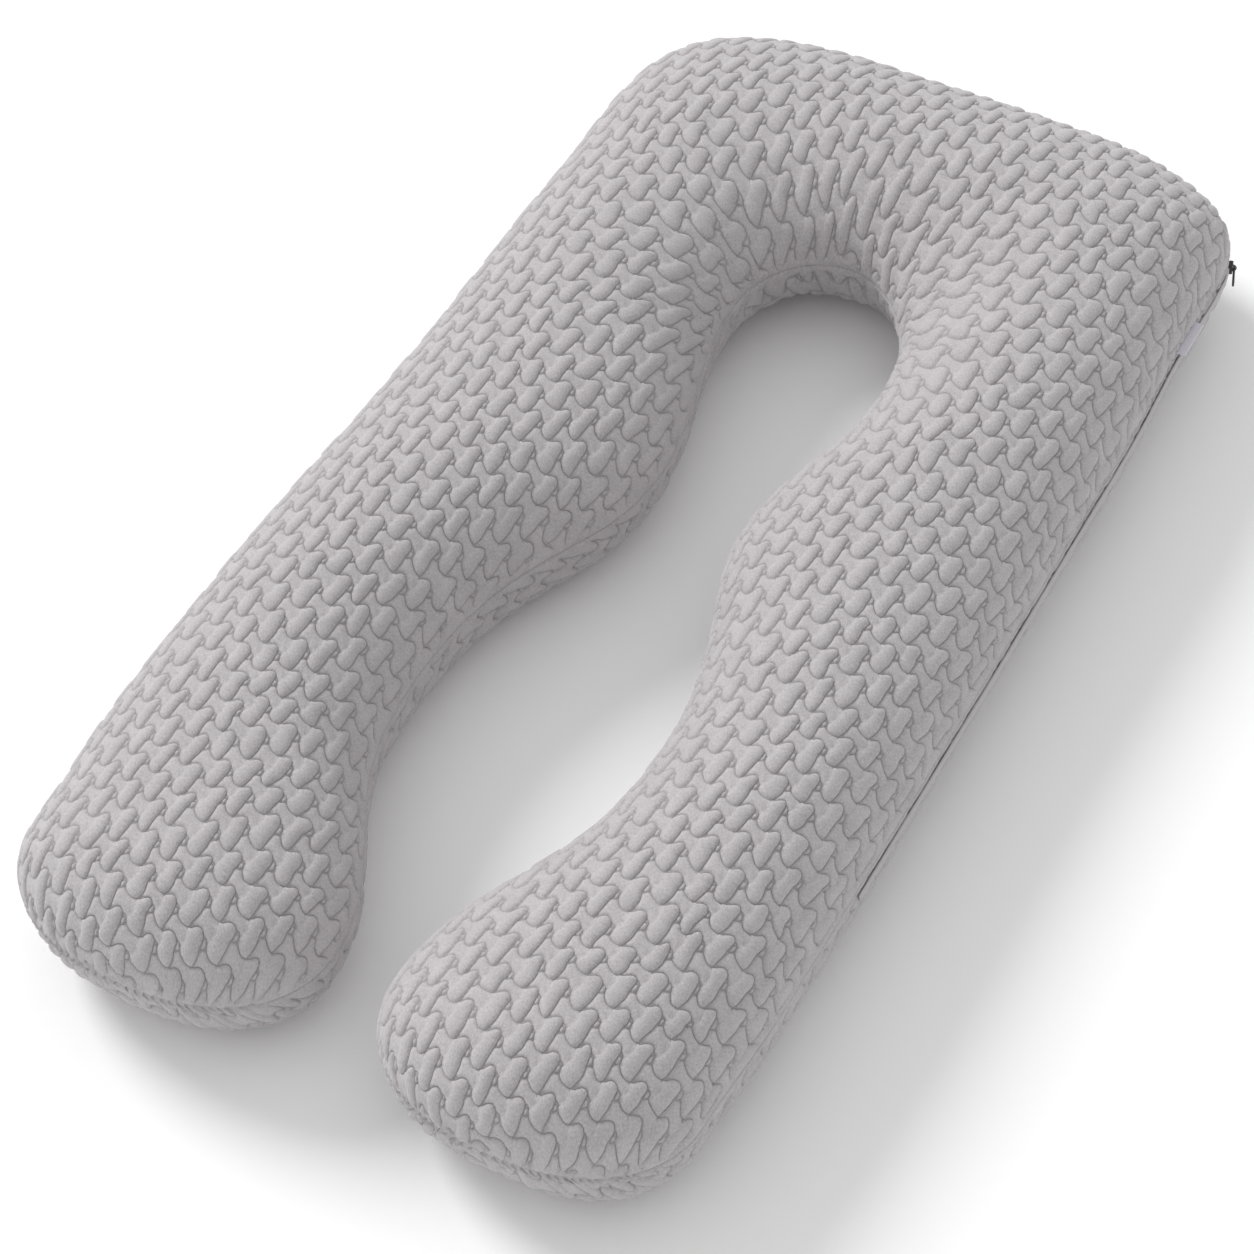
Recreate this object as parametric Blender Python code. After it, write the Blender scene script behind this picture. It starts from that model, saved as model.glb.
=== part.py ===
# U-shaped body pillow with a quilted cover, lying on its back.
# Metres, +Z up, +Y from the feet of the two legs to the bar that joins them.
# The origin is the middle of the footprint, on the surface that the pillow lies on.

import math

import bpy
import bmesh
import numpy as np
from mathutils import Matrix, Vector, kdtree
from mathutils.bvhtree import BVHTree
from mathutils.geometry import delaunay_2d_cdt

# Driving dimensions
SEAM_HEIGHT = 0.101       # side seam above the surface
BELLY_DEPTH = 0.108       # lower half before the surface flattens it
UPPER_FULLNESS = 2.0      # exponent of the upper half's section, 2 is an ellipse
LOWER_FULLNESS = 2.65     # the lower half is squarer, pressed out by the weight
FOOT_FULLNESS = 2.2       # plan of the round end of each leg
FOOT_REACH = 0.125        # from the last full section to the tip of the foot
SPLAY_SPAN = (0.35, -0.65)                  # along +Y, where the flat cloth's legs swing apart
SEAM_GROOVE = 0.004       # how deep the side seam draws the cloth in
SEAM_LIP = 0.0055         # half width of that groove
PLAIN_RIM = 0.0160        # cloth left unquilted under the seam, where the zip's band lies
STATION_STEP = 0.013      # spacing of the sections along the pillow
SEAM_STRIDE = 2           # the seam has a corner at every second section
SEAM_PARTS = 8            # points looked at between two corners of the seam, for distances to it
ROUND_STEPS = 36          # steps over a panel from seam to seam
LEG_SPLAY = 0.030         # how far the flat cloth's legs stand apart, so that the feet don't overlap
ARCH_SPAN = (0.25, 0.47)  # along +Y, where the cloth gathers round the inside of the arch
ARCH_SHARE = 0.45         # share of its length over the side that the flat cloth keeps there
SEAT = 0.0004             # gap between a sewn-on piece and the cloth that carries it

# Sections of the pillow, from the left foot over the bar to the right foot. Each row gives
# the inner and the outer end of the seam line in plan, and the crown's height over the seam.
SECTIONS = (
    # name, inner x, inner y, outer x, outer y, crown
    ("left foot", -0.030, -0.600, -0.388, -0.600, 0.098),
    ("left ankle", -0.060, -0.500, -0.395, -0.500, 0.098),
    ("left calf", -0.116, -0.400, -0.397, -0.400, 0.097),
    ("left waist", -0.139, -0.300, -0.396, -0.300, 0.096),
    ("left rise", -0.138, -0.200, -0.393, -0.200, 0.096),
    ("left hip", -0.113, -0.100, -0.389, -0.100, 0.097),
    ("left swell", -0.066, 0.000, -0.384, 0.000, 0.098),
    ("left bulge", -0.052, 0.095, -0.381, 0.105, 0.099),
    ("left chest", -0.074, 0.195, -0.379, 0.225, 0.099),
    ("left shoulder", -0.098, 0.290, -0.378, 0.360, 0.099),
    ("left arch foot", -0.100, 0.350, -0.377, 0.490, 0.099),
    ("left arch", -0.091, 0.383, -0.367, 0.612, 0.099),
    ("left corner", -0.076, 0.407, -0.328, 0.672, 0.099),
    ("left crown", -0.054, 0.426, -0.236, 0.710, 0.099),
    ("left bar", -0.030, 0.436, -0.120, 0.722, 0.099),
    ("middle", -0.008, 0.438, 0.010, 0.723, 0.099),
    ("right bar", 0.015, 0.434, 0.120, 0.725, 0.099),
    ("right crown", 0.038, 0.422, 0.228, 0.717, 0.099),
    ("right corner", 0.062, 0.401, 0.318, 0.687, 0.099),
    ("right arch", 0.084, 0.370, 0.355, 0.640, 0.099),
    ("right arch foot", 0.101, 0.330, 0.364, 0.520, 0.099),
    ("right shoulder", 0.109, 0.270, 0.372, 0.390, 0.099),
    ("right chest", 0.104, 0.195, 0.377, 0.260, 0.099),
    ("right bulge", 0.077, 0.105, 0.380, 0.130, 0.099),
    ("right swell", 0.071, 0.010, 0.383, 0.010, 0.098),
    ("right hip", 0.104, -0.090, 0.385, -0.090, 0.097),
    ("right rise", 0.131, -0.190, 0.387, -0.190, 0.096),
    ("right waist", 0.135, -0.290, 0.389, -0.290, 0.096),
    ("right calf", 0.112, -0.395, 0.391, -0.395, 0.097),
    ("right ankle", 0.062, -0.500, 0.391, -0.500, 0.098),
    ("right foot", 0.040, -0.600, 0.387, -0.600, 0.098),
)

# The quilting's repeat on the cloth laid flat, x to the right and y towards the bar
QUILT_RELIEF = 0.0036     # depth of the stitched lines under the crowns
QUILT_FADE = 0.0120       # beside the plain rim the relief grows over this distance
QUILT_DOWN = (0.0160, -0.0360)
QUILT_LEFT = (-0.0260, -0.0200)
QUILT_POINTS = (
    # name, x, y, height as a share of the relief
    ("corner under the rib", 0.1100, -0.1150, 0.0),
    ("corner beside the rib", 0.1135, -0.0845, 0.0),
    ("crown of the rib", 0.0980, -0.0920, 1.0),
)
QUILT_LINES = (
    # from point, to point, and the steps down and left to the repeat of the second point
    (1, 0, 0, 0),
    (0, 1, 0, 1),
    (1, 0, -1, 0),
)
QUILT_REPEATS = 60        # repeats tried each way before the cloth's edge cuts them
QUILT_EDGE = (0.0110, 0.0200)               # nearest stitch to the seam: upper panel, lower panel
PRESSED_HEIGHT = 0.010    # below this the cloth is pressed smooth

# The zip lies in the right-hand seam; its sizes are those of a light coil zip
PLACKET_TOP = 0.628       # where the smooth band over the zip starts, along +Y
PLACKET_END = -0.300
PLACKET_WIDTH = 0.009
PLACKET_THICK = 0.0016
PLACKET_DROP = 0.0062     # from the seam down to the band's upper edge
SLIDER_SIZE = (0.0046, 0.0110, 0.0112)      # out from the cloth, along the seam, up
SLIDER_EDGE = 0.0008
BRIDGE_RADIUS = 0.0044
BRIDGE_WIRE = 0.0007
BRIDGE_SINK = 0.0006      # how deep the bridge's ends stand in the slider
BRIDGE_SIDES = 8
PULL_SIZE = (0.0022, 0.0062, 0.0290)        # thick, wide, long
PULL_EYE = 0.0052
PULL_BAR = 0.0012         # the tab's metal above and beside its eye
PULL_EDGE = 0.0003
PULL_ROUND = 10           # corners of the tab's round end
LABEL_MIDDLE = 0.508      # along +Y
LABEL_LENGTH = 0.050
LABEL_STATIONS = 5
LABEL_PROUD = 0.0085      # how far the label stands out of the seam
LABEL_ROOT = 0.0026       # how far it reaches into the seam's groove
LABEL_THICK = 0.0014

CLOTH_COLOUR = (0.47, 0.45, 0.48)
METAL_COLOUR = (0.045, 0.043, 0.047)
LABEL_COLOUR = (0.74, 0.72, 0.79)


def clear_scene():
    for old in list(bpy.data.objects):
        bpy.data.objects.remove(old, do_unlink=True)


def make_material(name, colour, roughness, metallic):
    material = bpy.data.materials.new(name)
    material.use_nodes = True
    shader = material.node_tree.nodes["Principled BSDF"]
    shader.inputs["Base Color"].default_value = (*colour, 1.0)
    shader.inputs["Roughness"].default_value = roughness
    shader.inputs["Metallic"].default_value = metallic
    return material


def add_object(name, mesh, material):
    mesh.materials.append(material)
    piece = bpy.data.objects.new(name, mesh)
    bpy.context.scene.collection.objects.link(piece)
    return piece


def clamped_spline(knots, values, start_slope, end_slope, at):
    """Cubic spline through the values, one column each, with set slopes at both ends."""
    count = len(knots)
    gaps = np.diff(knots)
    rises = np.diff(values, axis=0) / gaps[:, None]
    system = np.zeros((count, count))
    right = np.zeros((count, values.shape[1]))
    system[0, 0] = system[-1, -1] = 1.0
    right[0], right[-1] = start_slope, end_slope
    for row in range(1, count - 1):
        before, after = gaps[row - 1], gaps[row]
        system[row, row - 1:row + 2] = after, 2 * (before + after), before
        right[row] = 3 * (after * rises[row - 1] + before * rises[row])
    slopes = np.linalg.solve(system, right)
    span = np.clip(np.searchsorted(knots, at, side="right") - 1, 0, count - 2)
    gap = gaps[span][:, None]
    part = (at - knots[span])[:, None] / gap
    start, end = values[span], values[span + 1]
    ease = part * part * (3 - 2 * part)
    lift = part * (1 - part)
    return (start * (1 - ease) + end * ease
            + gap * lift * ((1 - part) * slopes[span] - part * slopes[span + 1]))


def make_sections():
    """Sections at even steps: rows of inner x, y, outer x, y, crown, and the size of the section.

    The first and last rows have the size 0: they are the tips of the feet.
    """
    table = np.array([row[1:] for row in SECTIONS])
    middle = (table[:, 0:2] + table[:, 2:4]) / 2
    knots = np.concatenate([[0.0], np.cumsum(np.linalg.norm(np.diff(middle, axis=0), axis=1))])
    steps = SEAM_STRIDE * round(knots[-1] / STATION_STEP / SEAM_STRIDE)
    away = np.array([0.0, 1.0, 0.0, 1.0, 0.0])
    body = clamped_spline(knots, table, away, -away, np.linspace(0.0, knots[-1], steps + 1))
    body = np.column_stack([body, np.ones(len(body))])
    return np.concatenate([foot_sections(body[0]), body, foot_sections(body[-1])[::-1]])


def foot_sections(last):
    """Sections of a leg's round end, from the tip to the last full section."""
    steps = SEAM_STRIDE * math.ceil(FOOT_REACH / STATION_STEP)
    angle = math.pi / 2 * (1 - np.arange(steps) / steps)
    size = np.cos(angle) ** (2 / FOOT_FULLNESS)
    size[0] = 0.0
    y = last[1] - FOOT_REACH * np.sin(angle) ** (2 / FOOT_FULLNESS)
    middle_x = (last[0] + last[2]) / 2
    inner_x = middle_x + (last[0] - middle_x) * size
    outer_x = middle_x + (last[2] - middle_x) * size
    return np.column_stack([inner_x, y, outer_x, y, last[4] * size, size])


def panel_grid(sections, side):
    """The upper (side 1) or lower (side -1) panel as filled, and the same grid laid flat."""
    turn = np.linspace(0.0, math.pi, ROUND_STEPS + 1)
    fullness = UPPER_FULLNESS if side > 0 else LOWER_FULLNESS
    across = np.sign(np.cos(turn)) * np.abs(np.cos(turn)) ** (2 / fullness)
    lift = np.abs(np.sin(turn)) ** (2 / fullness)
    lift[0] = lift[-1] = 0.0
    inner, outer = sections[:, None, 0:2], sections[:, None, 2:4]
    plan = (inner + outer) / 2 + (outer - inner) / 2 * across[None, :, None]
    depth = sections[:, 4] if side > 0 else -BELLY_DEPTH * sections[:, 5]
    height = np.maximum(0.0, SEAM_HEIGHT + depth[:, None] * lift[None, :])
    places = np.concatenate([plan, height[:, :, None]], axis=2)

    crown = ROUND_STEPS // 2
    steps = np.linalg.norm(np.diff(places, axis=1), axis=2)
    along = np.concatenate([np.zeros((len(sections), 1)), np.cumsum(steps, axis=1)], axis=1)
    along = along[:, [crown]] - along
    full = np.flatnonzero(sections[:, 5] >= 1.0)
    direction = sections[:, 2:4] - sections[:, 0:2]
    direction[:full[0]] = direction[full[0]]
    direction[full[-1]:] = direction[full[-1]]
    half = np.linalg.norm(sections[:, 2:4] - sections[:, 0:2], axis=1)[:, None] / 2
    direction /= np.linalg.norm(direction, axis=1)[:, None]
    middle = (sections[:, 0:2] + sections[:, 2:4]) / 2
    ridge = np.concatenate([[0.0], np.cumsum(np.linalg.norm(np.diff(places[:, crown], axis=0), axis=1))])
    for end, feet in ((full[0], np.arange(full[0])), (full[-1], np.arange(full[-1] + 1, len(sections)))):
        middle[feet, 1] = middle[end, 1] - np.abs(ridge[end] - ridge[feet])
    gathered = np.clip((middle[:, 1] - ARCH_SPAN[0]) / (ARCH_SPAN[1] - ARCH_SPAN[0]), 0.0, 1.0)[:, None]
    share = 1.0 - (1.0 - ARCH_SHARE) * gathered ** 2 * (3.0 - 2.0 * gathered)
    level = across[None, :] * half
    along = np.where(along < 0.0, level + (along - level) * share, along)
    flat = middle[:, None, :] + direction[:, None, :] * along[:, :, None]
    swing = np.clip((SPLAY_SPAN[0] - middle[:, 1]) / (SPLAY_SPAN[0] - SPLAY_SPAN[1]), 0.0, 1.0)
    flat[:, :, 0] += (LEG_SPLAY * swing * np.sign(middle[:, 0]))[:, None]
    return places, flat


def grid_normals(places, side):
    """Outward directions of a panel's grid."""
    normals = np.cross(np.gradient(places, axis=0), np.gradient(places, axis=1))
    normals /= np.maximum(1e-12, np.linalg.norm(normals, axis=2))[:, :, None]
    return normals * np.sign(normals[len(places) // 3, ROUND_STEPS // 2, 2]) * side


def seam_corners(shape):
    """Grid indices of the seam's corners in one loop: outer seam from foot to foot, then the inner one back."""
    index = np.arange(shape[0] * shape[1]).reshape(shape[0], shape[1])
    return np.concatenate([index[::SEAM_STRIDE, 0], index[SEAM_STRIDE:-SEAM_STRIDE:SEAM_STRIDE, -1][::-1]])


def loop_inward(loop):
    """Directions that point into a closed clockwise loop of plan points."""
    along = np.roll(loop, -1, axis=0) - np.roll(loop, 1, axis=0)
    along /= np.linalg.norm(along, axis=1)[:, None]
    return np.column_stack([along[:, 1], -along[:, 0]])


def quilt_lattice(flat):
    """The quilting's points over a panel laid flat, their height shares, and the lines between them."""
    points = np.array([row[1:3] for row in QUILT_POINTS])
    low = flat.reshape(-1, 2).min(axis=0) - np.abs(QUILT_DOWN)
    high = flat.reshape(-1, 2).max(axis=0) + np.abs(QUILT_DOWN)
    numbers, spots, lines = {}, [], []
    reach = range(-QUILT_REPEATS, QUILT_REPEATS + 1)
    for down in reach:
        for left in reach:
            shift = down * np.array(QUILT_DOWN) + left * np.array(QUILT_LEFT)
            centre = points.mean(axis=0) + shift
            if (centre > low).all() and (centre < high).all():
                numbers[down, left] = len(spots) * len(points)
                spots.append(points + shift)
    for (down, left), first in numbers.items():
        for start, end, more_down, more_left in QUILT_LINES:
            other = numbers.get((down + more_down, left + more_left))
            if other is not None:
                lines.append((first + start, other + end))
    shares = np.tile([row[3] for row in QUILT_POINTS], len(spots))
    return np.concatenate(spots), shares, np.array(lines)


class Panel:
    """One panel of the cover, from its flat cut to the filled body."""

    def __init__(self, sections, side, seam_tree):
        self.side = side
        self.places, self.flat = panel_grid(sections, side)
        self.normals = grid_normals(self.places, side).reshape(-1, 3)
        index = np.arange(self.flat.shape[0] * self.flat.shape[1]).reshape(self.flat.shape[:2])
        first = np.stack([index[:-1, :-1], index[1:, :-1], index[1:, 1:]], axis=2).reshape(-1, 3)
        second = np.stack([index[:-1, :-1], index[1:, 1:], index[:-1, 1:]], axis=2).reshape(-1, 3)
        self.triangles = np.concatenate([first, second])
        self.tree = BVHTree.FromPolygons([Vector((x, y, 0.0)) for x, y in self.flat.reshape(-1, 2)],
                                         self.triangles.tolist(), all_triangles=True)
        self.seam_tree = seam_tree

    def lay(self, points):
        """Places and outward directions on the filled body of points on the flat cloth; NaN off the cloth."""
        places = np.full((len(points), 3), np.nan)
        normals = np.zeros((len(points), 3))
        grid, flat = self.places.reshape(-1, 3), self.flat.reshape(-1, 2)
        for row, (x, y) in enumerate(points):
            hit = self.tree.ray_cast(Vector((x, y, 1.0)), Vector((0.0, 0.0, -1.0)))[2]
            if hit is None:
                continue
            corners = self.triangles[hit]
            system = np.vstack([flat[corners].T, np.ones(3)])
            weights = np.clip(np.linalg.lstsq(system, np.array([x, y, 1.0]), rcond=None)[0], 0.0, 1.0)
            weights /= weights.sum()
            places[row] = weights @ grid[corners]
            normals[row] = weights @ self.normals[corners]
        return places, normals / np.maximum(1e-9, np.linalg.norm(normals, axis=1))[:, None]

    def seam_distance(self, places):
        return np.array([self.seam_tree.find(place)[2] for place in places])

    def rim_points(self, distances):
        """Plain points beside the seam, at set distances from it on the flat cloth."""
        loop = self.flat.reshape(-1, 2)[seam_corners(self.flat.shape)]
        return np.concatenate([loop + loop_inward(loop) * distance for distance in distances])

    def pressed_points(self):
        """Plain points of the underside that the pillow's weight presses flat."""
        chosen = [place for row in range(SEAM_STRIDE, self.flat.shape[0] - SEAM_STRIDE, SEAM_STRIDE)
                  for place in range(row * self.flat.shape[1], (row + 1) * self.flat.shape[1])
                  if place % SEAM_STRIDE == 0]
        heights = self.places.reshape(-1, 3)[chosen, 2]
        spare = (heights <= 0.0) & (np.arange(len(chosen)) % 3 > 0)
        return self.flat.reshape(-1, 2)[chosen][(heights < PRESSED_HEIGHT) & ~spare]

    def make(self):
        """Corners inside the seam and triangles; numbers up to the seam's count mean the seam's corners."""
        spots, shares, lines = quilt_lattice(self.flat)
        places, _ = self.lay(spots)
        edge = QUILT_EDGE[0] if self.side > 0 else QUILT_EDGE[1]
        keep = ~np.isnan(places[:, 0])
        keep[keep] = self.seam_distance(places[keep]) > edge
        rim = self.rim_points((SEAM_LIP,) if self.side > 0 else (SEAM_LIP, PLAIN_RIM))
        plain = [rim]
        if self.side < 0:
            keep &= places[:, 2] > PRESSED_HEIGHT
            plain.append(self.pressed_points())
        plain = np.concatenate(plain)
        loop = self.flat.reshape(-1, 2)[seam_corners(self.flat.shape)]
        number = np.full(len(spots), -1)
        number[keep] = np.arange(keep.sum()) + len(loop) + len(plain)
        halfway, _ = self.lay(spots[lines].mean(axis=1))
        lines = number[lines[~np.isnan(halfway[:, 0])]]
        lines = lines[(lines >= 0).all(axis=1)]
        shares = np.concatenate([np.ones(len(plain)), shares[keep]])
        inside = np.concatenate([plain, spots[keep]])
        everything = np.concatenate([loop, inside])
        flat_face = list(range(len(loop)))[::-1]
        corners, _, faces, sources, _, face_sources = delaunay_2d_cdt(
            [Vector(point) for point in everything * 1000.0], lines.tolist(), [flat_face], 0, 1e-5, True)
        if len(corners) != len(everything):
            raise ValueError(f"the quilting's lines cross: {len(everything)} points gave {len(corners)}")
        original = [source[0] for source in sources]
        triangles = [[original[corner] for corner in face] for face, cut in zip(faces, face_sources) if cut]
        places, normals = self.lay(inside)
        rim_width = SEAM_LIP if self.side > 0 else PLAIN_RIM
        fade = np.clip((self.seam_distance(places) - rim_width) / QUILT_FADE, 0.0, 1.0)
        places -= normals * (QUILT_RELIEF * (1.0 - shares) * fade)[:, None]
        places[:, 2] = np.maximum(0.0, places[:, 2])
        return places, triangles


def make_pillow(sections, material):
    places, flat = panel_grid(sections, 1)
    corners = seam_corners(flat.shape)
    loop = places.reshape(-1, 3)[corners]
    count = len(loop) * SEAM_PARTS
    seam_tree = kdtree.KDTree(count)
    for row in range(count):
        start, part = divmod(row, SEAM_PARTS)
        seam_tree.insert(loop[start] + (loop[(start + 1) % len(loop)] - loop[start]) * part / SEAM_PARTS, row)
    seam_tree.balance()
    drawn = loop.copy()
    drawn[:, 0:2] += loop_inward(loop[:, 0:2]) * SEAM_GROOVE

    shape = bmesh.new()
    seam = [shape.verts.new(place) for place in drawn]
    for side in (1, -1):
        inside, triangles = Panel(sections, side, seam_tree).make()
        verts = seam + [shape.verts.new(place) for place in inside]
        for triangle in triangles:
            shape.faces.new([verts[corner] for corner in triangle])
    bmesh.ops.recalc_face_normals(shape, faces=shape.faces)
    mesh = bpy.data.meshes.new("pillow")
    shape.to_mesh(mesh)
    shape.free()
    return add_object("pillow", mesh, material)


def right_seam(sections):
    """Seam line of the right side from the bar's corner down the leg: rows of x, y and outward normal."""
    line = sections[::SEAM_STRIDE, 2:4]
    line = line[(line[:, 0] > 0.2)]
    along = np.gradient(line, axis=0)
    along /= np.linalg.norm(along, axis=1)[:, None]
    return np.column_stack([line, -along[:, 1], along[:, 0]])


def seam_at(seam, y):
    """Place on the right-hand seam at a given y, with its outward direction and the one along it."""
    rows = seam[np.argsort(seam[:, 1])]
    x, out_x, out_y = (np.interp(y, rows[:, 1], rows[:, column]) for column in (0, 2, 3))
    outward = Vector((out_x, out_y, 0.0)).normalized()
    return Vector((x, y, SEAM_HEIGHT)), outward, Vector((-outward.y, outward.x, 0.0))


def sweep(name, frames, profile, material):
    """Closed solid of one profile carried along frames of (origin, outward); profile is (out, up)."""
    shape = bmesh.new()
    rings = []
    for origin, outward in frames:
        rings.append([shape.verts.new(origin + outward * out + Vector((0, 0, up))) for out, up in profile])
    count = len(profile)
    for ring, following in zip(rings, rings[1:]):
        for spot in range(count):
            after = (spot + 1) % count
            shape.faces.new((ring[spot], following[spot], following[after], ring[after]))
    shape.faces.new(rings[0])
    shape.faces.new(rings[-1])
    bmesh.ops.recalc_face_normals(shape, faces=shape.faces)
    mesh = bpy.data.meshes.new(name)
    shape.to_mesh(mesh)
    shape.free()
    return add_object(name, mesh, material)


def make_placket(seam, material):
    frames = []
    ys = [y for y in sorted(seam[:, 1]) if PLACKET_END < y < PLACKET_TOP]
    for y in [PLACKET_END] + ys + [PLACKET_TOP]:
        origin, outward, _ = seam_at(seam, y)
        frames.append((origin, outward))
    edge = PLACKET_THICK * 0.4
    top, bottom = -PLACKET_DROP, -PLACKET_DROP - PLACKET_WIDTH
    outer = SEAT + PLACKET_THICK
    profile = ((SEAT, bottom), (outer - edge, bottom), (outer, bottom + edge),
               (outer, top - edge), (outer - edge, top), (SEAT, top))
    return sweep("zip_placket", frames, profile, material)


def make_label(seam, material):
    frames = []
    for share in np.linspace(-0.5, 0.5, LABEL_STATIONS):
        y = LABEL_MIDDLE + LABEL_LENGTH * share
        origin, outward, _ = seam_at(seam, y)
        frames.append((origin, outward))
    half = LABEL_THICK / 2
    profile = ((-LABEL_ROOT, -half), (LABEL_PROUD - half, -half), (LABEL_PROUD, 0.0),
               (LABEL_PROUD - half, half), (-LABEL_ROOT, half))
    return sweep("side_label", frames, profile, material)


def bevelled_box(size, width):
    shape = bmesh.new()
    bmesh.ops.create_cube(shape, size=1.0)
    bmesh.ops.scale(shape, vec=size, verts=shape.verts)
    bmesh.ops.bevel(shape, geom=list(shape.edges), offset=width, segments=2, profile=0.5,
                    affect="EDGES", material=-1)
    return shape


def rounded_tab(size):
    """Flat tab that hangs down from z 0, x through its thickness, with a round lower end."""
    thick, wide, long = size
    half = wide / 2
    outline = [(-half, 0.0)]
    for step in range(PULL_ROUND + 1):
        turn = math.pi * (1 + step / PULL_ROUND)
        outline.append((half * math.cos(turn), half - long + half * math.sin(turn)))
    outline.append((half, 0.0))
    shape = bmesh.new()
    face = shape.faces.new([shape.verts.new((-thick / 2, y, z)) for y, z in outline])
    grown = bmesh.ops.extrude_face_region(shape, geom=[face])["geom"]
    corners = [part for part in grown if isinstance(part, bmesh.types.BMVert)]
    bmesh.ops.translate(shape, vec=(thick, 0, 0), verts=corners)
    rims = [edge for edge in shape.edges if abs(edge.verts[0].co.x - edge.verts[1].co.x) < thick / 2]
    bmesh.ops.bevel(shape, geom=rims, offset=PULL_EDGE, segments=1, affect="EDGES", material=-1)
    return shape


def place(shape, origin, outward, along):
    """Turn a shape modelled with x outward and y along the seam into its place."""
    turn = Matrix((outward, along, Vector((0, 0, 1)))).transposed().to_4x4()
    bmesh.ops.transform(shape, matrix=Matrix.Translation(origin) @ turn, verts=shape.verts)


def add_shape(name, shape, material):
    bmesh.ops.recalc_face_normals(shape, faces=shape.faces)
    mesh = bpy.data.meshes.new(name)
    shape.to_mesh(mesh)
    shape.free()
    return add_object(name, mesh, material)


def add_boolean(piece, cutter, operation):
    cut = piece.modifiers.new(operation.lower(), "BOOLEAN")
    cut.operation = operation
    cut.object = cutter
    cut.solver = "EXACT"
    cutter.hide_render = True
    cutter.display_type = "WIRE"


def make_slider(seam, material):
    """Zip slider on the upper end of the band, with the small bridge that carries the pull."""
    origin, outward, along = seam_at(seam, PLACKET_TOP)
    depth, length, height = SLIDER_SIZE
    shape = bevelled_box(SLIDER_SIZE, SLIDER_EDGE)
    centre = origin + outward * (SEAT + depth / 2) + along * (length / 2 + SEAT)
    centre.z -= PLACKET_DROP + PLACKET_WIDTH / 2
    place(shape, centre, outward, along)
    slider = add_shape("zip_slider", shape, material)

    bridge = bmesh.new()
    wire = [bridge.verts.new((BRIDGE_RADIUS + BRIDGE_WIRE * math.cos(turn), 0.0, BRIDGE_WIRE * math.sin(turn)))
            for turn in (math.tau * side / BRIDGE_SIDES for side in range(BRIDGE_SIDES))]
    ring = bridge.faces.new(wire)
    bmesh.ops.spin(bridge, geom=[ring] + list(ring.edges) + list(ring.verts), cent=(0, 0, 0),
                   axis=(0, 0, 1), angle=math.pi, steps=BRIDGE_SIDES)
    bmesh.ops.rotate(bridge, cent=(0, 0, 0), matrix=Matrix.Rotation(-math.pi / 2, 3, "Z"), verts=bridge.verts)
    bmesh.ops.rotate(bridge, cent=(0, 0, 0), matrix=Matrix.Rotation(math.pi / 2, 3, "X"), verts=bridge.verts)
    bridge_foot = centre + outward * (depth / 2 - BRIDGE_SINK)
    place(bridge, bridge_foot, outward, along)
    cutter = add_shape("slider_bridge", bridge, material)
    add_boolean(slider, cutter, "UNION")
    return bridge_foot, outward, along


def make_pull(foot, outward, along, material):
    """Pull tab that hangs from the bridge: the bar over its eye lies between bridge and slider."""
    thick, wide, _ = PULL_SIZE
    shape = rounded_tab(PULL_SIZE)
    bmesh.ops.translate(shape, vec=(0, 0, PULL_BAR / 2), verts=shape.verts)
    eye = bevelled_box((thick * 3, wide - 2 * PULL_BAR, PULL_EYE), PULL_EDGE)
    bmesh.ops.translate(eye, vec=(0, 0, -PULL_BAR / 2 - PULL_EYE / 2), verts=eye.verts)
    hang = foot + outward * (BRIDGE_SINK + SEAT + thick / 2)
    for solid in (shape, eye):
        place(solid, hang, outward, along)
    pull = add_shape("zip_pull", shape, material)
    cutter = add_shape("pull_eye", eye, material)
    add_boolean(pull, cutter, "DIFFERENCE")


def centre_footprint():
    """Move everything so that the origin is the middle of the footprint."""
    meshes = [piece.data for piece in bpy.data.objects]
    spots = np.array([vertex.co for mesh in meshes for vertex in mesh.vertices])
    middle = (spots.min(axis=0) + spots.max(axis=0)) / 2
    for mesh in meshes:
        mesh.transform(Matrix.Translation((-middle[0], -middle[1], 0.0)))


def main():
    clear_scene()
    cloth = make_material("quilted_knit", CLOTH_COLOUR, 0.95, 0.0)
    metal = make_material("gunmetal_zinc", METAL_COLOUR, 0.35, 1.0)
    label = make_material("woven_label", LABEL_COLOUR, 0.7, 0.0)
    sections = make_sections()
    make_pillow(sections, cloth)
    seam = right_seam(sections)
    make_placket(seam, cloth)
    make_label(seam, label)
    make_pull(*make_slider(seam, metal), metal)
    centre_footprint()


main()
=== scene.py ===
# Quilted U-shaped body pillow: two knit panels over a filled body, a covered side zip and a blank label
import math

import bmesh
import bpy
import numpy as np
from mathutils import Matrix, Vector, kdtree, noise
from mathutils.bvhtree import BVHTree
from mathutils.geometry import delaunay_2d_cdt


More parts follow.
